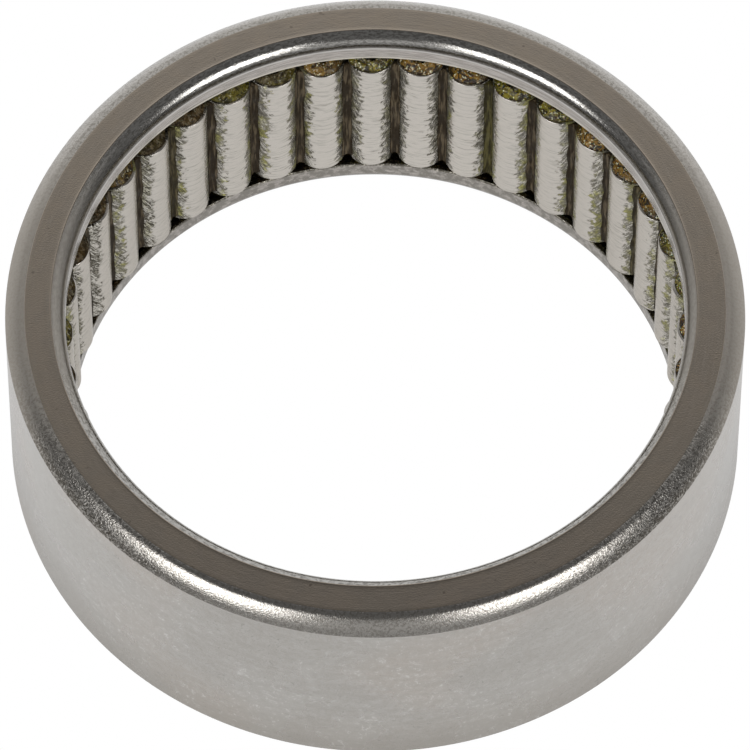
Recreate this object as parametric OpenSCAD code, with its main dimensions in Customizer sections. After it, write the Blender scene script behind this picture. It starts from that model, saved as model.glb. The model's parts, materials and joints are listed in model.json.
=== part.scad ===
// Full-complement drawn-cup needle roller bearing, open at both ends.
// One thin drawn steel cup with a hooked lip at each end holds forty trunnioned needle rollers
// and their grease. The rollers run straight on the cup's bore and on the shaft: there is no
// cage and no inner ring.
// The origin is the bearing's centre, +Z is its axis, and the units are millimetres.

/* [Envelope] */
// Outside diameter of the cup, which the housing grips
outside_d = 34.925; // [34.9:0.005:36]
// Diameter of the circle inside the rollers, which is the shaft's diameter
bore_d = 28.575; // [28.5:0.005:28.6]
// Width over the two faces
width = 12.7; // [12.6:0.1:20]

/* [Rollers] */
// Number of rollers in the full complement
roller_count = 40; // [30:1:40]
// Diameter of a roller's body
roller_d = 2.38125; // [2.3:0.00625:2.38125]
// Diameter of the trunnion at each end of a roller
trunnion_d = 1; // [0.6:0.1:1]
// Length of each trunnion
trunnion_l = 1.1; // [0.8:0.05:1.1]
// Radius round each end of a roller's body
shoulder_round = 0.15; // [0.1:0.05:0.5]
// Radius round each trunnion's tip
tip_round = 0.25; // [0.1:0.05:0.3]
// How far a roller can slide either way from the middle of the cup
end_float = 0.2; // [0.2:0.05:0.4]
// How far the rollers have settled towards the lower face
roller_drop = 0.2; // [0:0.05:0.2]
// Angle of the first roller from the +X axis
first_roller_deg = 0.9; // [0:0.1:9]

/* [Cup] */
// Radial clearance between the rollers and the cup's bore
running_clearance = 0.02; // [0.02:0.01:0.08]
// Diameter inside the hooked lips
lip_bore_d = 29.26; // [29:0.02:29.3]
// Depth of a hooked lip, from the face to its thin edge
lip_depth = 1.5; // [1.3:0.05:1.6]
// Thickness of the lip at its thin edge
lip_edge_t = 0.3; // [0.2:0.05:0.3]
// Radius of the roll from each flat face down to the lip
inner_roll = 0.6; // [0.4:0.05:0.8]
// Radius of the roll from each flat face out to the housing fit
outer_roll = 0.95; // [0.8:0.05:1.1]
// Radius inside the cup where its wall meets its face
wall_corner = 0.5; // [0.2:0.1:0.6]
// Radius inside the cup where its face meets the lip
lip_corner = 0.35; // [0.2:0.05:0.35]
// Radius on the lip's thin edge, on the side that faces the rollers
lip_edge_round = 0.12; // [0.05:0.01:0.15]

/* [Grease] */
// Gap between the packed grease and the metal round it
grease_gap = 0.05; // [0.03:0.01:0.08]

/* [Hidden] */
outside_r = outside_d / 2;
half_width = width / 2;
roller_r = roller_d / 2;
trunnion_r = trunnion_d / 2;
pitch_r = bore_d / 2 + roller_r;
raceway_r = pitch_r + roller_r + running_clearance;
wall = outside_r - raceway_r;
lip_r = lip_bore_d / 2;
lip_back_r = lip_r + lip_edge_t;
lip_edge_z = half_width - lip_depth;
ceiling_z = half_width - wall;
tip_clearance = 0.076;
roller_half = ceiling_z - tip_clearance - end_float;
body_half = roller_half - trunnion_l;
pitch_deg = 360 / roller_count;
over = 1;
$fn = 96;

function two_digits(k) = str(k < 10 ? "0" : "", k);
function roller_name(k) = str("roller_", two_digits(k));

// Cutter for a rounded corner: the part of a square that lies outside a circle about the origin,
// in the quarter that side_x and side_y point to.
module corner_cutter(r, side_x, side_y) {
    difference() {
        translate([side_x < 0 ? -r - over : 0, side_y < 0 ? -r - over : 0])
            square(r + over);
        circle(r = r);
    }
}

// Section of the upper half of the cup without its hollow: x is the radius and y is the height.
module cup_blank_section() {
    difference() {
        translate([lip_r, 0])
            square([outside_r - lip_r, half_width]);
        translate([outside_r - outer_roll, half_width - outer_roll])
            corner_cutter(outer_roll, 1, 1);
        translate([lip_r + inner_roll, half_width - inner_roll])
            corner_cutter(inner_roll, -1, 1);
    }
}

// Section of the upper half of the hollow: the rollers' track, and the pocket behind the lip.
module cup_hollow_section() {
    translate([lip_r - over, -over])
        square([raceway_r - lip_r + over, lip_edge_z + over]);
    difference() {
        translate([lip_back_r, 0])
            square([raceway_r - lip_back_r, ceiling_z]);
        translate([raceway_r - wall_corner, ceiling_z - wall_corner])
            corner_cutter(wall_corner, 1, 1);
        translate([lip_back_r + lip_corner, ceiling_z - lip_corner])
            corner_cutter(lip_corner, -1, 1);
    }
    translate([lip_back_r - lip_edge_round, lip_edge_z + lip_edge_round])
        corner_cutter(lip_edge_round, 1, -1);
}

module cup_half_section() {
    difference() {
        cup_blank_section();
        cup_hollow_section();
    }
}

// The drawn cup: one steel strip, drawn, with both ends turned in and hooked towards the rollers.
module cup() {
    color([0.66, 0.65, 0.62])
        rotate_extrude($fn = 256)
            union() {
                cup_half_section();
                mirror([0, 1])
                    cup_half_section();
            }
}

// Section of the upper half of a roller, from its axis outwards.
module roller_half_section() {
    difference() {
        square([roller_r, body_half]);
        translate([roller_r - shoulder_round, body_half - shoulder_round])
            corner_cutter(shoulder_round, 1, 1);
    }
    difference() {
        square([trunnion_r, roller_half]);
        translate([trunnion_r - tip_round, roller_half - tip_round])
            corner_cutter(tip_round, 1, 1);
    }
}

// Puts a child at the place of roller k in the complement.
module at_roller(k) {
    rotate([0, 0, first_roller_deg + (k - 1) * pitch_deg])
        translate([pitch_r, 0, 0])
            children();
}

// One needle roller, with a small trunnion at each end that the hooked lip keeps in.
module roller(k) {
    color([0.74, 0.71, 0.66])
        at_roller(k)
            translate([0, 0, -roller_drop])
                rotate_extrude()
                    union() {
                        roller_half_section();
                        mirror([0, 1])
                            roller_half_section();
                    }
}

// A ring of grease packed round the trunnions at one end. body_end is the height of the rollers'
// shoulders there, counted from the bearing's centre.
module grease_ring(body_end) {
    foot_z = body_end + grease_gap;
    difference() {
        rotate_extrude($fn = 256)
            union() {
                translate([lip_r, foot_z])
                    square([raceway_r - grease_gap - lip_r, lip_edge_z - grease_gap - foot_z]);
                translate([lip_back_r + grease_gap, foot_z])
                    square([
                        raceway_r - lip_back_r - 2 * grease_gap,
                        ceiling_z - wall_corner - foot_z
                    ]);
                translate([lip_back_r + lip_corner, foot_z])
                    square([
                        raceway_r - wall_corner - lip_back_r - lip_corner,
                        ceiling_z - grease_gap - foot_z
                    ]);
            }
        for (k = [1:roller_count])
            at_roller(k)
                cylinder(r = trunnion_r + grease_gap, h = half_width);
    }
}

module grease_upper() {
    color([0.45, 0.40, 0.24])
        grease_ring(body_half - roller_drop);
}

module grease_lower() {
    color([0.45, 0.40, 0.24])
        mirror([0, 0, 1])
            grease_ring(body_half + roller_drop);
}

cup();
grease_upper();
grease_lower();
for (k = [1:roller_count])
    roller(k);
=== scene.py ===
# Looks of the drawn-cup needle roller bearing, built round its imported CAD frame.
# Lengths in this file are millimetres unless a name says otherwise; MM turns them into metres.
import json
import math
from types import SimpleNamespace

import bpy
import numpy as np
from mathutils import Matrix, Vector


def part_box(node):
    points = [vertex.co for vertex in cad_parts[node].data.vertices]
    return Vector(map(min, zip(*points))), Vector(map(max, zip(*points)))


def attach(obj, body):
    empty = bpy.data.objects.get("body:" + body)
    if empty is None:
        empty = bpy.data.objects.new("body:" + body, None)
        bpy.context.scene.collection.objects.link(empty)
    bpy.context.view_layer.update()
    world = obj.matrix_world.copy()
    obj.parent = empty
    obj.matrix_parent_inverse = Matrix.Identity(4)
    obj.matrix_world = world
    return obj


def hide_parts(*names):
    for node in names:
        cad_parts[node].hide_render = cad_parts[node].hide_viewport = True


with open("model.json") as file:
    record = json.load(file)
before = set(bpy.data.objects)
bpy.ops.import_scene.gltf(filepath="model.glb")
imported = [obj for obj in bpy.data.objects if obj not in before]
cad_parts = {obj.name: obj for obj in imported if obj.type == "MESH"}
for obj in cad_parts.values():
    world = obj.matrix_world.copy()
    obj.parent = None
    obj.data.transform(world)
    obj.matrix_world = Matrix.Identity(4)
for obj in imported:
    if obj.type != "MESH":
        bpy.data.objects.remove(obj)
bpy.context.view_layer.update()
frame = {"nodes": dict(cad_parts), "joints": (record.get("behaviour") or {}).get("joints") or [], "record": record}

MM = 0.001

# ---------------------------------------------------------------- sizes, from the frame
cup_low, cup_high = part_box("cup")
OUTSIDE_R = cup_high.x / MM
HALF_WIDTH = cup_high.z / MM
MOUNTS = {m["name"]: m for m in frame["record"]["mounts"]}
SHAFT_R = MOUNTS["shaft_track"]["dims"]["r_mm"]
ROLLERS = sorted(n for n in frame["nodes"] if n.startswith("roller_"))
AXES = {j["child"]: Vector(j["pos_m"]) / MM for j in frame["joints"] if j["child"] in ROLLERS}
FIRST_AXIS = AXES[ROLLERS[0]]
PITCH_R = Vector(FIRST_AXIS[:2]).length
FIRST_ANGLE = math.atan2(FIRST_AXIS.y, FIRST_AXIS.x)
PITCH = 2 * math.pi / len(ROLLERS)
ROLLER_R = PITCH_R - SHAFT_R
roller_low, roller_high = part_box(ROLLERS[0])
ROLLER_TOP = roller_high.z / MM
ROLLER_FOOT = roller_low.z / MM

# ---------------------------------------------------------------- sizes of the cup's section
LIP_R = 14.63
LIP_DEPTH = 1.5
LIP_EDGE = 0.3
LIP_EDGE_ROUND = 0.05
BURR = 0.05
# The roll from the face to the lip is a little wider on one side, and it ends in slight creases.
ROLL_IN_WIDE = 0.575
ROLL_IN_UNEVEN = 0.10
ROLL_IN_WIDEST = math.radians(125)
ROLL_IN_DEEP = 0.60
ROLL_IN_START = math.radians(3)
ROLL_IN_END = math.radians(80)
RIDGE = 0.003
RIDGE_WIDE = 0.10
# The roll from the face to the outside starts tight and goes on slacker, until the ground wall cuts it.
FACE_OUT = 16.52
ROLL_OUT_TIGHT = 0.60
ROLL_OUT_TURN = math.radians(40)
ROLL_OUT_END = math.radians(57)
ROLLER_PLAY = 0.02
RACEWAY_R = PITCH_R + ROLLER_R + ROLLER_PLAY
CEILING = HALF_WIDTH - (OUTSIDE_R - RACEWAY_R)
WALL_CORNER = 0.5
LIP_CORNER = 0.35
# Rings of points just below the outer crease, which keep the wall's shading straight up to it.
CREASE_GUARDS = (0.06, 0.02)
CUP_COLUMNS = 960

# ---------------------------------------------------------------- sizes of a roller
TRUNNION_R = 0.5
TRUNNION_L = 1.1
SHOULDER_ROUND = 0.03
TIP_ROUND = 0.25
BODY_TOP = ROLLER_TOP - TRUNNION_L
BODY_FOOT = ROLLER_FOOT + TRUNNION_L
ROLLER_MIDDLE = (ROLLER_TOP + ROLLER_FOOT) / 2
ROLLER_HALF = (ROLLER_TOP - ROLLER_FOOT) / 2
BODY_HALF = ROLLER_HALF - TRUNNION_L
ROLLER_COLUMNS = 120
# The film's relief on the flanks, its ridges there, and its faint ripple all over.
SMEAR_THICK = 0.006
SMEAR_RIDGE = 0.008
RIPPLE = 0.0015
# Between these places across the bearing, from left to right, the film grows thick on every roller.
THICK_FROM = 3.0
THICK_TO = 9.0

# ---------------------------------------------------------------- sizes of the grease
GREASE_EDGE_R = 14.74
GREASE_HOLLOW = 0.10
GREASE_BACK = 0.25
GREASE_GAP = 0.015
CAP_IN = TRUNNION_R + 0.05
CAP_OUT = 1.185
CAP_COLUMNS, CAP_RINGS = 60, 12
# Between these places across the bearing, from right to left, the grease on the rollers' ends grows dull.
DULL_FROM = -1.0
DULL_TO = -9.0
STRIP_ROWS, STRIP_COLUMNS = 90, 9
STRIP_BELOW_TOP = 0.08
PACK_IN = 15.05
PACK_OUT = 16.60
PACK_COLUMNS = 360
UPPER_TIP_ROOM = 0.05
LOWER_TIP_ROOM = 0.02
CEILING_ROOM = 0.05


# ================================================================ small tools
def rng(seed):
    return np.random.default_rng(seed)


def smooth(low, high, value):
    """0 below low, 1 above high, and a smooth step between."""
    t = np.clip((value - low) / (high - low), 0.0, 1.0)
    return t * t * (3 - 2 * t)


def lattice_noise(u, v, cells_u, cells_v, seed):
    """Smooth random field from -1 to 1. u and v run from 0 to 1, and u wraps round."""
    grid = rng(seed).uniform(-1, 1, (cells_u + 2, cells_v + 2))
    grid[cells_u], grid[cells_u + 1] = grid[0], grid[1]
    x = np.mod(u, 1.0) * cells_u
    y = np.clip(v, 0, 1) * cells_v
    i = np.minimum(x.astype(int), cells_u)
    j = np.minimum(y.astype(int), cells_v)
    a = smooth(0, 1, x - i)
    b = smooth(0, 1, y - j)
    low = grid[i, j] * (1 - a) + grid[i + 1, j] * a
    high = grid[i, j + 1] * (1 - a) + grid[i + 1, j + 1] * a
    return low * (1 - b) + high * b


def arc(centre_r, centre_z, radius, start_deg, end_deg, steps):
    angles = np.radians(np.linspace(start_deg, end_deg, steps + 1))
    return [(centre_r + radius * math.cos(a), centre_z + radius * math.sin(a)) for a in angles]


def line(start, end, steps):
    start, end = np.array(start), np.array(end)
    return [tuple(start + (end - start) * t / steps) for t in range(steps + 1)]


def join(*runs):
    """One outline from several runs of points, without the points that two runs share."""
    points = []
    for run in runs:
        points += [p for p in run if not points or math.dist(points[-1], p) > 1e-6]
    return points


def mesh_object(name, vertices, face_groups, attributes=None, material=None):
    """A smooth-shaded object from points in millimetres and groups of faces with equal numbers of sides."""
    mesh = bpy.data.meshes.new(name)
    mesh.vertices.add(len(vertices))
    mesh.vertices.foreach_set("co", (np.asarray(vertices, np.float32) * MM).ravel())
    groups = [np.asarray(g, np.int32) for g in face_groups]
    corners = np.concatenate([g.ravel() for g in groups])
    sides = np.concatenate([np.full(len(g), g.shape[1], np.int32) for g in groups])
    mesh.loops.add(len(corners))
    mesh.loops.foreach_set("vertex_index", corners)
    mesh.polygons.add(len(sides))
    mesh.polygons.foreach_set("loop_start", (np.cumsum(sides) - sides).astype(np.int32))
    mesh.polygons.foreach_set("use_smooth", np.ones(len(sides), dtype=bool))
    mesh.update(calc_edges=True)
    mesh.validate()
    for key, values in (attributes or {}).items():
        kind = "FLOAT" if np.ndim(values) == 1 else "FLOAT_VECTOR"
        layer = mesh.attributes.new(key, kind, "POINT")
        field = "value" if kind == "FLOAT" else "vector"
        layer.data.foreach_set(field, np.asarray(values, np.float32).ravel())
    made = bpy.data.objects.new(name, mesh)
    bpy.context.scene.collection.objects.link(made)
    if material is not None:
        mesh.materials.append(material)
    return made


def grid_faces(rows, columns, closed_rows, closed_columns):
    """Quads of a grid of rows x columns points, stored row by row.

    Where the columns run anticlockwise round an axis and the rows run up along it, the quads face outwards.
    """
    r = np.arange(rows if closed_rows else rows - 1)
    c = np.arange(columns if closed_columns else columns - 1)
    rr, cc = np.meshgrid(r, c, indexing="ij")
    next_c = (cc + 1) % columns
    this_row, next_row = rr * columns, (rr + 1) % rows * columns
    quads = np.stack([this_row + cc, this_row + next_c, next_row + next_c, next_row + cc], -1)
    return quads.reshape(-1, 4)


def tube_faces(rows, columns):
    """The faces of a closed tube of rows rings, with a flat cap on each end."""
    first = np.arange(columns)[::-1][None]
    last = np.arange(columns)[None] + (rows - 1) * columns
    return [grid_faces(rows, columns, False, True), first, last]


def polar(radius, angle, height):
    """Points from cylinder coordinates, which are broadcast against each other."""
    radius, angle, height = np.broadcast_arrays(radius, angle, height)
    return np.stack([radius * np.cos(angle), radius * np.sin(angle), height], -1)


def merge(parts):
    """One set of points, face groups and attributes from many parts, which are such sets themselves."""
    points, groups, attributes, start = [], [], {}, 0
    for part_points, part_groups, part_attributes in parts:
        points.append(part_points)
        groups += [g + start for g in part_groups]
        start += len(part_points)
        for key, values in part_attributes.items():
            attributes.setdefault(key, []).append(values)
    return np.concatenate(points), groups, {k: np.concatenate(v) for k, v in attributes.items()}


# ================================================================ node tools
class Nodes:
    """Short calls for building one node tree."""

    def __init__(self, owner):
        owner.use_nodes = True
        self.owner = owner
        self.tree = owner.node_tree
        self.tree.nodes.clear()

    def put(self, node, index, value):
        if isinstance(value, bpy.types.NodeSocket):
            self.tree.links.new(value, node.inputs[index])
        else:
            node.inputs[index].default_value = value

    def node(self, kind, inputs=None, **settings):
        made = self.tree.nodes.new(kind)
        for key, value in settings.items():
            setattr(made, key, value)
        for key, value in (inputs or {}).items():
            self.put(made, key, value)
        return made

    def math(self, operation, *values):
        return self.node("ShaderNodeMath", dict(enumerate(values)), operation=operation).outputs[0]

    def add(self, *values):
        total = values[0]
        for value in values[1:]:
            total = self.math("ADD", total, value)
        return total

    def times(self, *values):
        product = values[0]
        for value in values[1:]:
            product = self.math("MULTIPLY", product, value)
        return product

    def step(self, value, low, high, to_low=0.0, to_high=1.0, kind="SMOOTHSTEP"):
        inputs = {"Value": value, "From Min": low, "From Max": high, "To Min": to_low, "To Max": to_high}
        return self.node("ShaderNodeMapRange", inputs, interpolation_type=kind).outputs[0]

    def mix(self, factor, a, b):
        """A colour between a and b."""
        return self.node("ShaderNodeMix", {0: factor, 6: a, 7: b}, data_type="RGBA").outputs[2]

    def layers(self, colour, *coats):
        """A colour with coats over it, each given as (how much of it covers, its colour)."""
        for cover, coat in coats:
            colour = self.mix(cover, colour, coat)
        return colour

    def blend(self, factor, a, b):
        """A number between a and b."""
        return self.node("ShaderNodeMix", {0: factor, 2: a, 3: b}, data_type="FLOAT").outputs[0]

    def noise(self, vector, scale, detail=2.0, roughness=0.5, distortion=0.0):
        inputs = {"Vector": vector, "Scale": scale, "Detail": detail}
        inputs.update({"Roughness": roughness, "Distortion": distortion})
        return self.node("ShaderNodeTexNoise", inputs).outputs[0]

    def attribute(self, name, vector=False):
        return self.node("ShaderNodeAttribute", attribute_name=name).outputs["Vector" if vector else "Fac"]

    def millimetres(self):
        """The point's place in the frame, in millimetres."""
        place = self.node("ShaderNodeTexCoord").outputs["Object"]
        return self.node("ShaderNodeVectorMath", {0: place, "Scale": 1 / MM}, operation="SCALE").outputs[0]

    def scaled(self, vector, x, y, z):
        inputs = {0: vector, 1: (x, y, z)}
        return self.node("ShaderNodeVectorMath", inputs, operation="MULTIPLY").outputs[0]

    def split(self, vector):
        return self.node("ShaderNodeSeparateXYZ", {0: vector}).outputs

    def vector(self, x, y, z):
        return self.node("ShaderNodeCombineXYZ", {0: x, 1: y, 2: z}).outputs[0]

    def bump(self, height, distance):
        """A normal from a height whose steps of 1 are distance millimetres high."""
        inputs = {"Height": height, "Strength": 1.0, "Distance": distance * MM}
        return self.node("ShaderNodeBump", inputs).outputs[0]

    def surface(self, **inputs):
        """Ends a material with one principled surface."""
        made = self.node("ShaderNodeBsdfPrincipled", {k.replace("_", " "): v for k, v in inputs.items()})
        self.node("ShaderNodeOutputMaterial", {0: made.outputs[0]})
        return self.owner


def rgb(r, g, b):
    return (r, g, b, 1.0)


# Greasy steel gains less brightness at grazing angles than clean steel.
GREASY_EDGE = rgb(0.75, 0.73, 0.70)


# ================================================================ materials
# Colours are linear. step(value, low, high, a, b) goes from a at low to b at high, and a and b are 0 and 1
# when they aren't given.
CUP_REGIONS = ("corner", "face", "roll", "lip", "burr")
ROLLER_REGIONS = ("flank", "edge", "film")
STROKE_LEAN = -1.4
CUP_RELIEF = 0.010
ROLLER_RELIEF = 0.014
GREASE_RELIEF = 0.06


def cup_fields(s):
    """The places, regions and noises from which the cup's colour, roughness and relief are made."""
    f = SimpleNamespace()
    place = s.millimetres()
    x, y, f.z = s.split(place)
    radius = s.math("SQRT", s.add(s.times(x, x), s.times(y, y)))
    around_x, around_y = s.math("DIVIDE", x, radius), s.math("DIVIDE", y, radius)

    def ring(across, along):
        """Coordinates that change fast across the section and slowly round the ring."""
        section = s.add(radius, s.times(f.z, 1.37))
        return s.vector(s.times(section, across), s.times(around_x, along), s.times(around_y, along))

    for region in CUP_REGIONS:
        setattr(f, region, s.attribute(region))
    f.stains = s.noise(place, 0.22, 3.0, 0.6)
    f.warm = s.noise(place, 0.11, 1.0, 0.5)
    f.speckle = s.noise(place, 8.0, 2.0, 0.6, 0.5)
    f.grain = s.noise(place, 14.0, 2.0, 0.6)
    f.mottle = s.noise(place, 0.9, 2.0, 0.6)
    f.clouds = s.noise(place, 2.6, 3.0, 0.65)
    f.swirl = s.noise(place, 1.5, 2.0, 0.6, 1.2)
    f.lathe = s.noise(ring(10.0, 16.0), 1.0, 3.0, 0.7)
    f.streak = s.noise(ring(22.0, 14.0), 1.0, 2.0, 0.6)
    f.hoops = s.noise(ring(7.0, 3.0), 1.0, 2.0, 0.6)
    f.nicks = s.noise(ring(8.0, 60.0), 1.0, 2.0, 0.65, 0.4)
    f.bands = s.noise(ring(1.6, 2.0), 1.0, 3.0, 0.7)
    f.pits = s.step(s.noise(place, 3.2, 1.0, 0.5), 0.74, 0.80)
    f.specks = s.step(s.noise(place, 4.6, 2.0, 0.6), 0.70, 0.76)
    f.scratches = s.step(s.noise(s.scaled(place, 1.6, 1.6, 11.0), 1.0, 2.0, 0.6), 0.66, 0.72)
    # The speckle is strongest in the front quarters, to the left and right, and fades out at the two sides (calm).
    aside = s.math("ABSOLUTE", around_x)
    f.worn = s.times(s.step(aside, 0.42, 0.80), s.step(around_y, 0.10, -0.50, 0.15, 1.0))
    calm_y = s.times(s.step(around_y, -0.60, -0.15), s.step(around_y, 0.75, 0.20))
    f.calm = s.times(s.step(aside, 0.60, 0.95), calm_y)
    return f


def wall_colour(s, f):
    """Pale satin steel with warm stains, cloudy and banded tones, scuffs, scratches, dark specks, and painted
    shade towards its foot.
    """
    scuff_line = s.step(s.math("ABSOLUTE", s.add(f.swirl, -0.5)), 0.022, 0.008)
    scuffs = s.times(scuff_line, s.step(f.clouds, 0.50, 0.58))
    scuff_colour = s.mix(s.step(f.stains, 0.45, 0.55), rgb(0.27, 0.255, 0.235), rgb(0.66, 0.65, 0.63))
    plain = s.mix(s.step(f.stains, 0.35, 0.7), rgb(0.405, 0.387, 0.361), rgb(0.450, 0.434, 0.411))
    return s.layers(
        plain,
        (s.times(s.step(f.warm, 0.44, 0.64), 0.5), rgb(0.455, 0.405, 0.36)),
        (s.times(s.step(f.grain, 0.42, 0.62), 0.28), rgb(0.31, 0.295, 0.272)),
        (s.times(s.step(f.clouds, 0.38, 0.62), 0.22), rgb(0.54, 0.53, 0.515)),
        (s.times(s.step(f.bands, 0.40, 0.60), 0.20), rgb(0.35, 0.335, 0.31)),
        # Painted shade: the wall turns darker and warmer towards its foot, near the floor.
        (s.step(f.z, -1.0, -5.5, 0.0, 0.35), rgb(0.385, 0.350, 0.305)),
        (s.times(f.scratches, 0.40), rgb(0.24, 0.225, 0.20)),
        (s.times(scuffs, 0.5), scuff_colour),
        (s.times(f.specks, 0.45), rgb(0.22, 0.205, 0.18)),
    )


def corner_colour(s, f):
    """Speckled steel, with a dark reflection painted in speckles along its foot in the front quarters."""
    fleck = s.mix(f.worn, rgb(0.32, 0.30, 0.272), rgb(0.19, 0.178, 0.16))
    foot = s.step(f.z, HALF_WIDTH - 0.32, HALF_WIDTH - 0.56)
    # Painted reflection: the corner's foot is painted dark in speckles, as a dark reflection, in the front
    # quarters.
    worn_foot = s.times(foot, f.worn, s.step(f.speckle, 0.64, 0.44))
    return s.layers(
        s.mix(s.step(f.speckle, 0.38, 0.56), fleck, rgb(0.45, 0.43, 0.40)),
        (s.times(worn_foot, 0.80), rgb(0.14, 0.125, 0.105)),
        (s.times(f.calm, 0.80), rgb(0.380, 0.347, 0.305)),
    )


def face_colour(s, f):
    """Warm grey-brown turned steel with a faint mottle and a few pits."""
    return s.layers(
        s.mix(s.step(f.lathe, 0.3, 0.7), rgb(0.348, 0.302, 0.250), rgb(0.385, 0.335, 0.280)),
        (s.times(s.step(f.mottle, 0.40, 0.62), 0.5), rgb(0.395, 0.335, 0.270)),
        (s.times(f.pits, 0.5), rgb(0.17, 0.14, 0.11)),
    )


def roll_colour(s, f):
    """Polished steel with fine nicks, and painted shade where the roll ends at the lip."""
    # Painted shade: dark where the roll sinks to the lip.
    sunk_shade = s.step(f.z, HALF_WIDTH - 0.36, HALF_WIDTH - 0.50)
    return s.layers(
        s.mix(s.step(f.nicks, 0.36, 0.60), rgb(0.29, 0.278, 0.258), rgb(0.52, 0.506, 0.482)),
        (s.times(f.calm, 0.75), rgb(0.395, 0.365, 0.322)),
        (s.times(sunk_shade, 0.7), rgb(0.13, 0.12, 0.11)),
    )


def lip_colour(s, f):
    """Pale steel with fine hoops, and painted highlights on the crest and the burr. The lower lip is darker in
    cloudy patches, with a painted shadow along its top edge under the rollers' feet.
    """
    crest_z = HALF_WIDTH - ROLL_IN_DEEP
    # Painted highlight: a bright band along the crest where the roll meets the lip wall.
    crest_highlight = s.step(f.z, crest_z - 0.12, crest_z - 0.04)
    below_middle = s.step(f.z, 0.0, -1.0)
    # The lower lip is darker in cloudy patches.
    lower_dark_patches = s.times(below_middle, s.step(f.clouds, 0.62, 0.42, 0.15, 0.95))
    lower_edge = LIP_DEPTH - HALF_WIDTH
    # Painted shadow: a dark speckled band along the lower lip's top edge, under the rollers' feet.
    underfoot_shadow = s.times(s.step(f.z, lower_edge - 0.19, lower_edge - 0.10), below_middle)
    return s.layers(
        s.mix(s.step(f.streak, 0.40, 0.60), rgb(0.35, 0.325, 0.30), rgb(0.525, 0.49, 0.46)),
        (s.times(s.step(f.hoops, 0.46, 0.36), 0.45), rgb(0.27, 0.25, 0.222)),
        (s.times(crest_highlight, 0.7), rgb(0.66, 0.65, 0.63)),
        # Painted highlight along the burr's edge.
        (f.burr, rgb(0.66, 0.62, 0.54)),
        (lower_dark_patches, rgb(0.235, 0.220, 0.195)),
        (s.times(underfoot_shadow, s.step(f.speckle, 0.60, 0.50, 0.1, 0.85)), rgb(0.07, 0.062, 0.045)),
    )


def cup_roughness(s, f):
    corner = s.blend(f.calm, s.step(f.speckle, 0.4, 0.6, 0.20, 0.12), 0.42)
    rough = s.blend(f.corner, s.step(f.stains, 0.3, 0.8, 0.24, 0.32), corner)
    rough = s.blend(f.face, rough, 0.13)
    roll = s.blend(f.calm, s.step(f.nicks, 0.35, 0.6, 0.16, 0.09), 0.30)
    rough = s.blend(f.roll, rough, roll)
    return s.blend(f.lip, rough, 0.26)


def cup_relief(s, f):
    """Heights of the cup's texture, cut into the surface: fine grain all over, and each region's marks."""
    strength = (s.blend(f.worn, 0.40, 1.25), s.blend(f.calm, 1.0, 0.5))
    return s.add(
        s.times(s.add(f.grain, -1.0), s.blend(f.corner, 0.22, 0.5)),
        s.times(s.add(f.speckle, f.grain, -2.0), f.corner, *strength),
        s.times(s.add(f.lathe, -1.0), f.face, 0.10),
        s.times(s.add(f.nicks, -1.0), f.roll, s.blend(f.calm, 0.6, 0.15)),
        s.times(s.step(f.grain, 0.56, 0.66, -0.16, 0.24), f.roll, f.worn),
        s.times(s.add(f.streak, -1.0), f.lip, 0.5),
    )


def cup_steel():
    """Satin drawn steel: a smooth wall, speckled corners, a plain face and a polished roll to the lip."""
    s = Nodes(bpy.data.materials.new("cup_steel"))
    f = cup_fields(s)
    colour = s.layers(
        wall_colour(s, f),
        (f.corner, corner_colour(s, f)),
        (f.face, face_colour(s, f)),
        (f.roll, roll_colour(s, f)),
        (f.lip, lip_colour(s, f)),
    )
    relief = s.bump(cup_relief(s, f), CUP_RELIEF)
    return s.surface(Base_Color=colour, Metallic=1.0, Roughness=cup_roughness(s, f), Normal=relief)


def roller_fields(s):
    """The regions of a roller and the noises of the grease film on it."""
    f = SimpleNamespace()
    wrapped = s.attribute("wrap", vector=True)
    for region in ROLLER_REGIONS:
        setattr(f, region, s.attribute(region))
    f.wrinkle = s.noise(s.scaled(wrapped, 1.1, 12.0, 1.0), 1.0, 2.0, 0.60, 0.35)
    along, up, number = s.split(wrapped)
    leaning = s.vector(along, s.add(up, s.times(s.math("ABSOLUTE", along), STROKE_LEAN)), number)
    f.stroke = s.noise(s.scaled(leaning, 2.4, 6.0, 1.0), 1.0, 3.0, 0.62, 1.4)
    f.curl = s.noise(s.scaled(wrapped, 3.2, 4.2, 1.0), 1.0, 2.0, 0.55, 1.5)
    f.blotch = s.noise(s.scaled(wrapped, 1.5, 1.1, 1.0), 1.0, 2.0, 0.6)
    f.patch = s.noise(s.scaled(wrapped, 1.1, 0.8, 1.0), 1.0, 1.0, 0.5)
    f.oily = s.times(s.step(f.blotch, 0.44, 0.56), f.film)
    return f


def track_colour(s, f):
    """The front of a roller: nearly clean steel, crossed by fine wrinkles that darken in patches."""
    lined = s.times(s.step(f.wrinkle, 0.39, 0.33), s.step(f.patch, 0.50, 0.62))
    return s.layers(
        s.mix(s.step(f.wrinkle, 0.32, 0.50), rgb(0.505, 0.480, 0.438), rgb(0.635, 0.602, 0.557)),
        (s.times(lined, 0.36), rgb(0.17, 0.155, 0.12)),
    )


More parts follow.
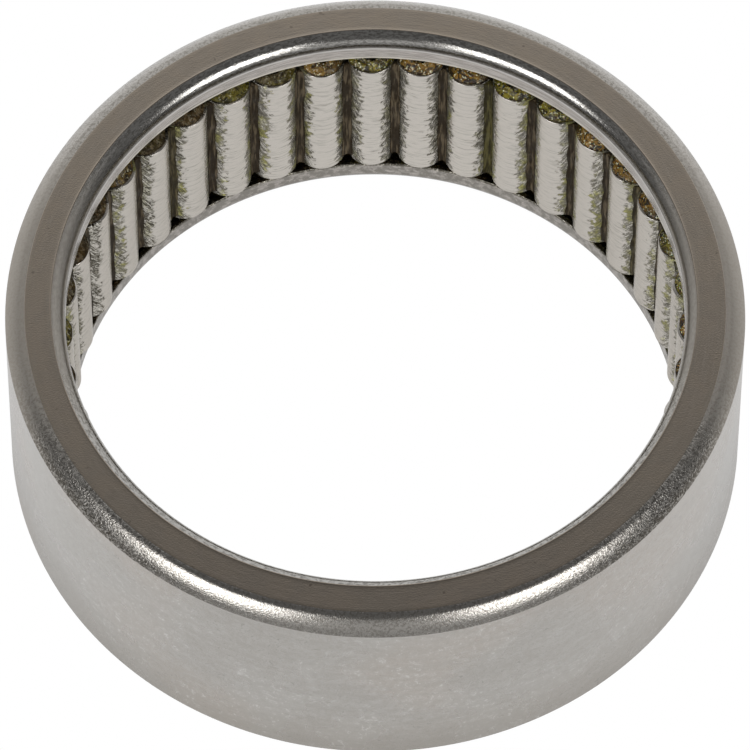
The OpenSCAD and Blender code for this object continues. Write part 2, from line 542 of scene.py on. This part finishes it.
def flank_colour(s, f):
    """A roller's sides: leaning smears with painted light and shade on their relief and painted shade in their
    creases, and yellow-green where the film is thick.
    """
    crease = s.step(s.math("ABSOLUTE", s.add(f.stroke, -0.46)), 0.070, 0.040)
    curl_shade_line = s.step(s.math("ABSOLUTE", s.add(f.curl, -0.5)), 0.035, 0.010)
    olive = s.mix(s.step(f.curl, 0.42, 0.56), rgb(0.20, 0.18, 0.055), rgb(0.62, 0.60, 0.30))
    thick_patch = s.times(s.step(f.blotch, 0.57, 0.61), s.step(f.film, 0.25, 0.6), 0.75)
    return s.layers(
        # Painted highlight and shade on the smears: light on the raised parts of the strokes, dark on the low
        # ones.
        s.mix(s.step(f.stroke, 0.45, 0.53), rgb(0.35, 0.33, 0.285), rgb(0.68, 0.655, 0.60)),
        (s.times(f.oily, 0.8), olive),
        (thick_patch, rgb(0.43, 0.41, 0.10)),
        # Painted shade in the creases, weaker where the film is thick.
        (s.times(crease, s.step(f.film, 0.4, 1.0, 1.0, 0.6)), rgb(0.045, 0.040, 0.026)),
        # Thin lines of painted shade along the curls.
        (s.times(curl_shade_line, 0.6), rgb(0.06, 0.052, 0.035)),
    )


def roller_steel():
    """Ground steel under a film of grease, with fine wrinkles in front and strokes with painted shade down the
    flanks.
    """
    s = Nodes(bpy.data.materials.new("roller_steel"))
    f = roller_fields(s)
    shaded = s.mix(s.step(f.stroke, 0.4, 0.6), rgb(0.055, 0.048, 0.034), rgb(0.20, 0.182, 0.145))
    colour = s.layers(
        track_colour(s, f),
        (f.flank, flank_colour(s, f)),
        (s.times(f.edge, s.step(f.film, 0.2, 0.9, 0.9, 0.35)), shaded),
    )
    metal = s.blend(f.oily, 1.0, 0.4)
    rough = s.blend(f.flank, 0.20, s.step(f.stroke, 0.35, 0.65, 0.36, 0.18))
    height = s.add(s.times(f.wrinkle, s.blend(f.flank, 0.8, 0.3)), s.times(f.stroke, f.flank, 2.2))
    return s.surface(
        Base_Color=colour, Metallic=metal, Roughness=rough, Specular_Tint=GREASY_EDGE,
        Normal=s.bump(height, ROLLER_RELIEF),
    )


def lump_colour(s, place, tint):
    """Olive to amber lumps with brown pools between them and pale glints on top."""
    lumps = s.noise(place, 3.6, 4.0, 0.68, 0.9)
    fine = s.noise(place, 7.5, 3.0, 0.7)
    pools = s.step(s.noise(place, 0.9, 1.0, 0.5), 0.46, 0.38)
    raised = s.step(lumps, 0.42, 0.60)
    olive = s.mix(raised, rgb(0.016, 0.012, 0.004), rgb(0.255, 0.215, 0.022))
    amber = s.mix(raised, rgb(0.018, 0.010, 0.003), rgb(0.30, 0.165, 0.020))
    colour = s.layers(
        s.mix(s.step(tint, 0.45, 0.62), olive, amber),
        (s.times(pools, 0.6), rgb(0.050, 0.036, 0.014)),
        (s.step(fine, 0.59, 0.63), rgb(0.92, 0.87, 0.58)),
    )
    return colour, s.add(lumps, s.times(fine, 0.6))


def groove_colour(s, place, tint):
    """Dark brown grease drawn into upright streaks. Some strips are olive."""
    streaks = s.noise(s.scaled(place, 7.0, 7.0, 0.6), 1.0, 2.0, 0.6)
    brown = s.mix(s.step(streaks, 0.46, 0.66), rgb(0.030, 0.021, 0.011), rgb(0.135, 0.105, 0.066))
    olive = s.mix(s.step(streaks, 0.4, 0.6), rgb(0.03, 0.026, 0.008), rgb(0.11, 0.10, 0.03))
    return s.mix(s.times(s.step(tint, 0.40, 0.15), 0.8), brown, olive)


def grease():
    """Wet olive to golden-brown grease. Deep gives how dark and thick it lies, and tint picks its hue."""
    s = Nodes(bpy.data.materials.new("grease"))
    place = s.millimetres()
    deep = s.attribute("deep")
    tint = s.attribute("tint")
    lump, relief = lump_colour(s, place, tint)
    colour = s.mix(deep, lump, groove_colour(s, place, tint))
    height = s.times(s.add(relief, -1.6), s.blend(deep, 1.0, 0.25))
    return s.surface(
        Base_Color=colour, Roughness=s.blend(deep, 0.08, 0.30), IOR=1.48,
        Specular_IOR_Level=s.blend(deep, 0.35, 0.03), Normal=s.bump(height, GREASE_RELIEF),
        Coat_Weight=s.blend(deep, 0.3, 0.0), Coat_Roughness=0.04,
        Subsurface_Weight=s.blend(deep, 0.15, 0.0), Subsurface_Scale=0.2 * MM,
    )


CUP_STEEL = cup_steel()
ROLLER_STEEL = roller_steel()
GREASE = grease()


# ================================================================ the cup
def roll_out():
    """The roll from the face to the outside: a tight arc, then a slack one that ends on the wall."""
    turn, end = ROLL_OUT_TURN, ROLL_OUT_END
    tight_z = HALF_WIDTH - ROLL_OUT_TIGHT
    turn_r = FACE_OUT + ROLL_OUT_TIGHT * math.sin(turn)
    turn_z = tight_z + ROLL_OUT_TIGHT * math.cos(turn)
    slack = (OUTSIDE_R - turn_r) / (math.sin(end) - math.sin(turn))
    centre = (turn_r - slack * math.sin(turn), turn_z - slack * math.cos(turn))
    end_deg, turn_deg = 90 - math.degrees(end), 90 - math.degrees(turn)
    return join(
        arc(*centre, slack, end_deg, turn_deg, 14),
        arc(FACE_OUT, tight_z, ROLL_OUT_TIGHT, turn_deg, 90, 14),
    )


def roll_in(width):
    """The roll from the face to the lip, from crease to crease."""
    start, end = ROLL_IN_START, ROLL_IN_END
    points = []
    for a in np.linspace(start, end, 21):
        across = (math.sin(a) - math.sin(start)) / (math.sin(end) - math.sin(start))
        down = (math.cos(start) - math.cos(a)) / (math.cos(start) - math.cos(end))
        points.append((LIP_R + width * (1 - across), HALF_WIDTH - ROLL_IN_DEEP * down))
    return points


def face_line(face_in):
    """The flat face, with a slight raised ridge along its inner edge."""
    ridge = [(face_in + RIDGE_WIDE * (1 - t), HALF_WIDTH + RIDGE * math.sin(math.pi * t) ** 2)
             for t in np.linspace(0, 1, 9)]
    return line((FACE_OUT, HALF_WIDTH), (face_in + RIDGE_WIDE, HALF_WIDTH), 8) + ridge


def cup_runs(width):
    """The upper half of the cup's section, from its outside round the lip to the track, as named runs."""
    edge_z = HALF_WIDTH - LIP_DEPTH
    back_r = LIP_R + LIP_EDGE
    e = LIP_EDGE_ROUND
    corner = roll_out()
    guards = [(OUTSIDE_R, corner[0][1] - below) for below in CREASE_GUARDS]
    return [
        ("wall", join(line((OUTSIDE_R, 0), guards[0], 12), guards[1:])),
        ("corner", corner),
        ("face", face_line(LIP_R + width)),
        ("roll", roll_in(width)),
        ("lip", line((LIP_R, HALF_WIDTH - ROLL_IN_DEEP), (LIP_R, edge_z + e + BURR), 8)),
        ("burr", line((LIP_R, edge_z + e + BURR), (LIP_R, edge_z + e), 2)),
        ("burr", arc(LIP_R + e, edge_z + e, e, 180, 270, 5)),
        ("lip", arc(back_r - e, edge_z + e, e, 270, 360, 5)),
        ("lip", line((back_r, edge_z + e), (back_r, CEILING - LIP_CORNER), 2)),
        ("inside", arc(back_r + LIP_CORNER, CEILING - LIP_CORNER, LIP_CORNER, 180, 90, 6)),
        ("inside", arc(RACEWAY_R - WALL_CORNER, CEILING - WALL_CORNER, WALL_CORNER, 90, 0, 6)),
        ("inside", line((RACEWAY_R, CEILING - WALL_CORNER), (RACEWAY_R, 0), 6)),
    ]


def cup_outline(width):
    """The whole section as an array of points, with the region of each and whether it is a crease."""
    points, regions, creases = [], [], []
    for region, run in cup_runs(width):
        for k, p in enumerate(run):
            if points and math.dist(points[-1], p) < 1e-6:
                regions[-1] = region
                creases[-1] = (region in ("corner", "roll") and k == 0) or creases[-1]
                continue
            points.append(p)
            regions.append(region)
            creases.append((region == "corner" and k == 0) or (region == "roll" and k == len(run) - 1))
    below = slice(-2, 0, -1)
    mirrored = [(r, -z) for r, z in points[below]]
    return np.array(points + mirrored), regions + regions[below], np.array(creases + creases[below])


def crease_cup(cup, creases):
    """Marks the rings of edges that run along the creases as sharp."""
    ends = np.zeros(len(cup.data.edges) * 2, np.int32)
    cup.data.edges.foreach_get("vertices", ends)
    rows = ends.reshape(-1, 2) // CUP_COLUMNS
    layer = cup.data.attributes.new("sharp_edge", "BOOLEAN", "EDGE")
    layer.data.foreach_set("value", (rows[:, 0] == rows[:, 1]) & creases[rows[:, 0]])


def build_cup():
    """The cup, with its inner roll a little wider on one side."""
    angles = np.linspace(0, 2 * math.pi, CUP_COLUMNS, endpoint=False)[None]
    narrow, wide = ROLL_IN_WIDE - ROLL_IN_UNEVEN, ROLL_IN_WIDE + ROLL_IN_UNEVEN
    outline, regions, creases = cup_outline(narrow)
    wide_outline = cup_outline(wide)[0]
    share = (1 + np.cos(angles - ROLL_IN_WIDEST)) / 2
    r = outline[:, :1] + (wide_outline - outline)[:, :1] * share
    points = polar(r, angles, outline[:, 1:]).reshape(-1, 3)
    marks = {n: [float(region == n) for region in regions] for n in CUP_REGIONS}
    attributes = {n: np.repeat(mark, CUP_COLUMNS) for n, mark in marks.items()}
    attributes["lip"] += attributes["burr"]
    faces = grid_faces(len(outline), CUP_COLUMNS, True, True)
    cup = mesh_object("cup_shell", points, [faces], attributes, CUP_STEEL)
    crease_cup(cup, creases)
    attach(cup, "cup")
    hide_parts("cup")


# ================================================================ the rollers
def roller_half_outline():
    """The upper half of a roller's section, from its middle to its tip, centred on the roller."""
    return join(
        line((ROLLER_R, 0), (ROLLER_R, BODY_HALF - SHOULDER_ROUND), 54),
        arc(ROLLER_R - SHOULDER_ROUND, BODY_HALF - SHOULDER_ROUND, SHOULDER_ROUND, 0, 90, 4),
        line((ROLLER_R - SHOULDER_ROUND, BODY_HALF), (TRUNNION_R, BODY_HALF), 3),
        line((TRUNNION_R, BODY_HALF), (TRUNNION_R, ROLLER_HALF - TIP_ROUND), 3),
        arc(TRUNNION_R - TIP_ROUND, ROLLER_HALF - TIP_ROUND, TIP_ROUND, 0, 90, 5),
        [(0.02, ROLLER_HALF)],
    )


def roller_smears(index, phi, u, v):
    """How far each point lies in the smeared flank and in the shaded edge. phi is 0 at the roller's front."""
    ragged = lattice_noise(u, v, 30, 60, 1000 + index) * 0.16
    ragged = ragged + lattice_noise(u, v, 60, 140, 2000 + index) * 0.10
    ragged = ragged + lattice_noise(u, v, 8, 9, 6000 + index) * 0.08
    aside = np.abs(np.sin(phi))
    right_start, left_start = rng(6500 + index).uniform(0.36, 0.56, 2)
    start = np.where(np.sin(phi) > 0, right_start, left_start)
    return smooth(start, start + 0.08, aside + ragged), smooth(0.74, 0.86, aside + 0.3 * ragged)


def roller_wrap(index, phi, along):
    """The place on the roller's skin: out from its front, up, and its number, so no two look alike.

    Past each side it runs back again, so the far half mirrors the front half.
    """
    signed = np.where(phi > math.pi, phi - 2 * math.pi, phi)
    folded = np.where(np.abs(signed) > math.pi / 2, np.sign(signed) * math.pi - signed, signed)
    return np.stack(np.broadcast_arrays(folded * ROLLER_R, along, index * 7.31), -1)


def build_roller(index, name):
    """One needle roller with its film of grease. Its front faces the bearing's axis."""
    upper = roller_half_outline()
    outline = np.array([(r, -z) for r, z in reversed(upper)][:-1] + upper)
    axis = AXES[name]
    inward = math.atan2(-axis.y, -axis.x)
    phi = np.linspace(0, 2 * math.pi, ROLLER_COLUMNS, endpoint=False)[None]
    along = outline[:, 1:]
    u, v = np.broadcast_arrays(phi / (2 * math.pi), (along + ROLLER_HALF) / (2 * ROLLER_HALF))
    flank, edge = roller_smears(index, phi, u, v)
    body = smooth(BODY_HALF + 0.01, BODY_HALF - SHOULDER_ROUND, np.abs(along))
    ridges = lattice_noise(u + v * 0.8, v, 40, 80, 3000 + index)
    smears = flank * (SMEAR_THICK + SMEAR_RIDGE * ridges)
    lift = (smears + RIPPLE * lattice_noise(u, v, 12, 70, 4000 + index)) * body
    points = polar(outline[:, :1] + lift, phi + inward, along + ROLLER_MIDDLE)
    points = points + np.array([axis.x, axis.y, 0])
    thick = max(rng(5000 + index).uniform(0.0, 1.0), smooth(THICK_FROM, THICK_TO, axis.x))
    attributes = {
        "flank": flank.ravel(), "edge": edge.ravel(), "film": (flank * thick).ravel(),
        "wrap": roller_wrap(index, phi, along).reshape(-1, 3)}
    faces = tube_faces(len(outline), ROLLER_COLUMNS)
    made = mesh_object(f"needle_{index + 1:02d}", points.reshape(-1, 3), faces, attributes, ROLLER_STEEL)
    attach(made, name)
    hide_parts(name)


# ================================================================ the grease
def groove_half_width(r):
    """Half the room between two neighbouring rollers at radius r."""
    half_pitch = PITCH / 2
    reach = np.clip(ROLLER_R**2 - (PITCH_R * math.cos(half_pitch) - r) ** 2, 0, None)
    return PITCH_R * math.sin(half_pitch) - np.sqrt(reach) - GREASE_GAP


def groove_strip(index):
    """The strip of grease in the groove between two rollers: hollow in front, flat behind."""
    v = np.linspace(0, 1, STRIP_ROWS)[:, None]
    low = BODY_FOOT + rng(7200 + index).uniform(0.03, 0.42)
    z = low + (BODY_TOP - STRIP_BELOW_TOP - low) * v
    across = np.linspace(-1, 1, STRIP_COLUMNS)[None]
    u = (across + 1) * 0.3
    wander = 0.05 * lattice_noise(np.zeros_like(v), v, 3, 9, 7000 + index)
    hollow = GREASE_HOLLOW * (1 - across**2) + wander * np.ones_like(across)
    front = GREASE_EDGE_R + hollow + 0.012 * lattice_noise(u + 0 * v, v + 0 * u, 9, 40, 7100 + index)
    back = np.full((STRIP_ROWS, STRIP_COLUMNS), GREASE_EDGE_R + GREASE_HOLLOW + GREASE_BACK)
    r = np.concatenate([front, back], 1)
    w = np.concatenate([across * groove_half_width(front), across[:, ::-1] * groove_half_width(back)], 1)
    angle = FIRST_ANGLE + (index + 0.5) * PITCH
    points = polar(r, angle + w / r, z).reshape(-1, 3)
    count = len(points)
    tint = rng(7300 + index).choice([0.5, 0.3, 0.1], p=[0.6, 0.2, 0.2])
    attributes = {"deep": np.ones(count), "tint": np.full(count, tint)}
    faces = [group[:, ::-1] for group in tube_faces(STRIP_ROWS, r.shape[1])]
    return points, faces, attributes


def cap_shape(seed, u, v):
    """One cap's distance from the trunnion's axis and its thickness, at u round it and v out from it."""
    lumps = lattice_noise(u, v, 9, 3, seed) * 0.5 + lattice_noise(u, v, 18, 6, seed + 1) * 0.35
    lumps = lumps + lattice_noise(u, v, 30, 10, seed + 2) * 0.2
    full = rng(seed + 3).uniform(0.28, 0.48)
    taper = smooth(0, 0.05, v) * smooth(0, 0.80, 1 - v)
    thick = 0.015 + taper * np.clip(full * (1 + 0.7 * lumps), 0.10, 0.75)
    spread = rng(seed + 7).uniform(0.80, 1.0)
    width = (CAP_OUT - CAP_IN) * v
    return CAP_IN + width * np.minimum(spread + 0.08 * lattice_noise(u, v, 14, 2, seed + 4), 1), thick


def cap_depth(seed, across_bearing):
    """How dark and thick one cap's grease lies: as it comes on the right, and mostly dull on the left."""
    dull = smooth(DULL_FROM, DULL_TO, across_bearing)
    deep = rng(seed + 6).choice([0.0, 0.15, 0.55, 0.9], p=[0.45, 0.25, 0.20, 0.10])
    return deep + (0.95 - deep) * dull * rng(seed + 8).uniform(0.5, 1.0)


def end_cap(index, foot):
    """The lump of grease on a roller's end, as a ring round the trunnion. foot puts it at the lower end."""
    axis = AXES[ROLLERS[index]]
    seed = 8000 + 20 * index + 10 * foot
    phi = np.linspace(0, 2 * math.pi, CAP_COLUMNS, endpoint=False)[None]
    u, v = np.broadcast_arrays(phi / (2 * math.pi), np.linspace(0, 1, CAP_RINGS)[:, None])
    rho, thick = cap_shape(seed, u, v)
    sign = -1 if foot else 1
    base = BODY_FOOT - GREASE_GAP if foot else BODY_TOP + GREASE_GAP
    top = polar(rho, phi, base + sign * thick)
    bottom = polar(rho, phi, base)[::-1]
    ring = np.concatenate([top, bottom]) + np.array([axis.x, axis.y, 0])
    faces = grid_faces(len(ring), CAP_COLUMNS, True, True)
    if not foot:
        faces = faces[:, ::-1]
    tint = np.full(len(ring) * CAP_COLUMNS, rng(seed + 5).uniform(0.1, 0.9))
    rim = smooth(0.90, 0.98, v)
    deep = np.concatenate([np.maximum(cap_depth(seed, axis.x), rim), np.ones_like(rim)])
    return ring.reshape(-1, 3), [faces], {"deep": deep.ravel(), "tint": tint}


def packed_ring(low, high, seed):
    """The grease behind the lip, round the tips of the trunnions, as one lumpy ring."""
    outline = np.array(join(
        line((PACK_IN, low), (PACK_OUT, low), 8), line((PACK_OUT, low), (PACK_OUT, high), 2),
        line((PACK_OUT, high), (PACK_IN, high), 8), line((PACK_IN, high), (PACK_IN, low), 3))[:-1])
    angles = np.linspace(0, 2 * math.pi, PACK_COLUMNS, endpoint=False)[None]
    u, v = np.broadcast_arrays(angles / (2 * math.pi), np.linspace(0, 1, len(outline))[:, None])
    lump = lattice_noise(u, v, 200, 8, seed)
    inner = outline[:, :1] < PACK_IN + 0.01
    r = outline[:, :1] + 0.05 * lump * inner
    points = polar(r, angles, outline[:, 1:]).reshape(-1, 3)
    faces = grid_faces(len(outline), PACK_COLUMNS, True, True)
    count = len(points)
    return points, [faces], {"deep": np.full(count, 0.8), "tint": np.full(count, 0.5)}


def grease_object(name, parts, *nodes):
    """One piece of grease from many lumps. It turns with the complement, in place of the nodes named."""
    points, faces, attributes = merge(parts)
    made = mesh_object(name, points, faces, attributes, GREASE)
    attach(made, "roller_set")
    if nodes:
        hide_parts(*nodes)


def build_grease():
    """The strips between the rollers, and at each end the caps with the ring behind the lip."""
    every = range(len(ROLLERS))
    grease_object("groove_grease", [groove_strip(k) for k in every])
    upper_ring = packed_ring(ROLLER_TOP + UPPER_TIP_ROOM, CEILING - CEILING_ROOM, 11)
    lower_ring = packed_ring(CEILING_ROOM - CEILING, ROLLER_FOOT - LOWER_TIP_ROOM, 12)
    upper = [end_cap(k, False) for k in every] + [upper_ring]
    lower = [end_cap(k, True) for k in every] + [lower_ring]
    grease_object("grease_upper_fill", upper, "grease_upper")
    grease_object("grease_lower_fill", lower, "grease_lower")


build_cup()
for number, roller in enumerate(ROLLERS):
    build_roller(number, roller)
build_grease()


# ================================================================ the studio
FLOOR_SIDE = 8000.0
FLOOR_GLOW = 0.60
FLOOR_PALE = 0.42
# The floor glows less in a narrow band round the foot of the bearing.
CONTACT_SHADE = 0.80
CONTACT_FROM = 0.4
CONTACT_TO = 2.0
# Brightness of the tent's parts.
OVERHEAD = 0.16
SIDE_WALL = 0.16
BACK_WALL = 0.80
FRONT_WALL = 0.56
FRONT_WALL_FOOT = 0.62
WINDOW_GLOW = 4.0
# Elevations, in degrees, between which the pale walls fade into the dim top.
BACK_FADE = (62.5, 54.0)
FRONT_FADE = (48.0, 30.0)
FOOT_FADE = (2.0, 26.0)
# How far back (or forward) a direction points where the back (or front) wall begins, and where it is full.
BACK_TURN = (0.10, 0.95)
FRONT_TURN = (-0.40, -0.95)
WINDOWS = (  # compass angle, elevation, half width and half height, in degrees
    (-135.0, 38.0, 20.0, 14.0),
    (-46.0, 38.0, 17.0, 14.0),
)
WINDOW_SOFT_ACROSS = 8.0
WINDOW_SOFT_UP = 3.0


def studio_floor():
    """A pale floor. The camera sees it as plain white, and the bearing sees it slightly shaded."""
    s = Nodes(bpy.data.materials.new("floor"))
    seen = s.node("ShaderNodeEmission", {"Color": rgb(1, 1, 1), "Strength": 1.0}).outputs[0]
    x, y, _ = s.split(s.millimetres())
    away = s.math("SQRT", s.add(s.times(x, x), s.times(y, y)))
    shade_from, shade_to = OUTSIDE_R + CONTACT_FROM, OUTSIDE_R + CONTACT_TO
    strength = s.step(away, shade_from, shade_to, CONTACT_SHADE * FLOOR_GLOW, FLOOR_GLOW)
    strength = s.blend(s.math("LESS_THAN", away, OUTSIDE_R), strength, FLOOR_GLOW)
    glow = s.node("ShaderNodeEmission", {"Color": rgb(1, 1, 1), "Strength": strength}).outputs[0]
    pale = s.node("ShaderNodeBsdfDiffuse", {"Color": rgb(FLOOR_PALE, FLOOR_PALE, FLOOR_PALE)}).outputs[0]
    felt = s.node("ShaderNodeAddShader", {0: pale, 1: glow}).outputs[0]
    direct = s.node("ShaderNodeLightPath").outputs["Is Camera Ray"]
    both = s.node("ShaderNodeMixShader", {0: direct, 1: felt, 2: seen}).outputs[0]
    s.node("ShaderNodeOutputMaterial", {0: both})
    side, z = FLOOR_SIDE / 2, -HALF_WIDTH
    corners = [(-side, -side, z), (side, -side, z), (side, side, z), (-side, side, z)]
    mesh_object("floor", corners, [[(0, 1, 2, 3)]], material=s.owner)


def window_light(s, compass, elevation, window):
    """The glow of one window, which is 1 in its middle and fades over its soft edges."""
    angle, height, half_width, half_height = window
    aside = s.math("ABSOLUTE", s.math("SUBTRACT", compass, angle))
    above = s.math("ABSOLUTE", s.math("SUBTRACT", elevation, height))
    across = s.step(aside, half_width + WINDOW_SOFT_ACROSS, half_width - WINDOW_SOFT_ACROSS)
    return s.times(across, s.step(above, half_height + WINDOW_SOFT_UP, half_height - WINDOW_SOFT_UP))


def studio_walls():
    """A light tent: pale behind and in front, dim elsewhere, with two soft windows in front.

    Only reflections and light see it. The camera sees plain white.
    """
    bpy.context.scene.world = bpy.data.worlds.new("studio")
    s = Nodes(bpy.context.scene.world)
    x, y, z = s.split(s.node("ShaderNodeTexCoord").outputs["Generated"])
    elevation = s.times(s.math("ARCSINE", z), 180 / math.pi)
    compass = s.times(s.math("ARCTAN2", y, x), 180 / math.pi)
    level_part = s.math("SQRT", s.add(s.times(x, x), s.times(y, y), 1e-6))
    depth = s.math("DIVIDE", y, level_part)
    back = s.step(depth, *BACK_TURN, SIDE_WALL, BACK_WALL, "LINEAR")
    front = s.step(depth, *FRONT_TURN, SIDE_WALL, FRONT_WALL, "LINEAR")
    front = s.times(front, s.step(elevation, *FOOT_FADE, FRONT_WALL_FOOT, 1.0))
    behind = s.math("GREATER_THAN", depth, 0.0)
    wall = s.blend(behind, front, back)
    reach = s.blend(behind, s.step(elevation, *FRONT_FADE), s.step(elevation, *BACK_FADE))
    light = s.blend(reach, OVERHEAD, wall)
    for window in WINDOWS:
        light = s.add(light, s.times(window_light(s, compass, elevation, window), WINDOW_GLOW))
    lit = s.node("ShaderNodeBackground", {0: rgb(1, 1, 1), 1: light}).outputs[0]
    seen = s.node("ShaderNodeBackground", {0: rgb(1, 1, 1), 1: 1.0}).outputs[0]
    direct = s.node("ShaderNodeLightPath").outputs["Is Camera Ray"]
    both = s.node("ShaderNodeMixShader", {0: direct, 1: lit, 2: seen}).outputs[0]
    s.node("ShaderNodeOutputWorld", {0: both})


CAMERA_ELEVATION = math.radians(59.75)
CAMERA_DISTANCE_M = 0.50
CAMERA_LENS_MM = 503.66
CAMERA_ROLL = -0.0035
CAMERA_PITCH = -0.0002


def camera():
    """The photo's view: from above and in front, with a long lens, aimed almost at the centre."""
    made = bpy.data.objects.new("camera", bpy.data.cameras.new("camera"))
    bpy.context.scene.collection.objects.link(made)
    bpy.context.scene.camera = made
    made.data.sensor_width = 36
    made.data.lens = CAMERA_LENS_MM
    back = Vector((0, -math.cos(CAMERA_ELEVATION), math.sin(CAMERA_ELEVATION)))
    made.location = back * CAMERA_DISTANCE_M
    turn = back.to_track_quat("Z", "Y").to_matrix() @ Matrix.Rotation(CAMERA_PITCH, 3, "X")
    made.rotation_euler = (turn @ Matrix.Rotation(-CAMERA_ROLL, 3, "Z")).to_euler()
    made.data.clip_start, made.data.clip_end = 0.01, 20


studio_floor()
studio_walls()
camera()
bpy.context.scene.view_settings.view_transform = "Standard"
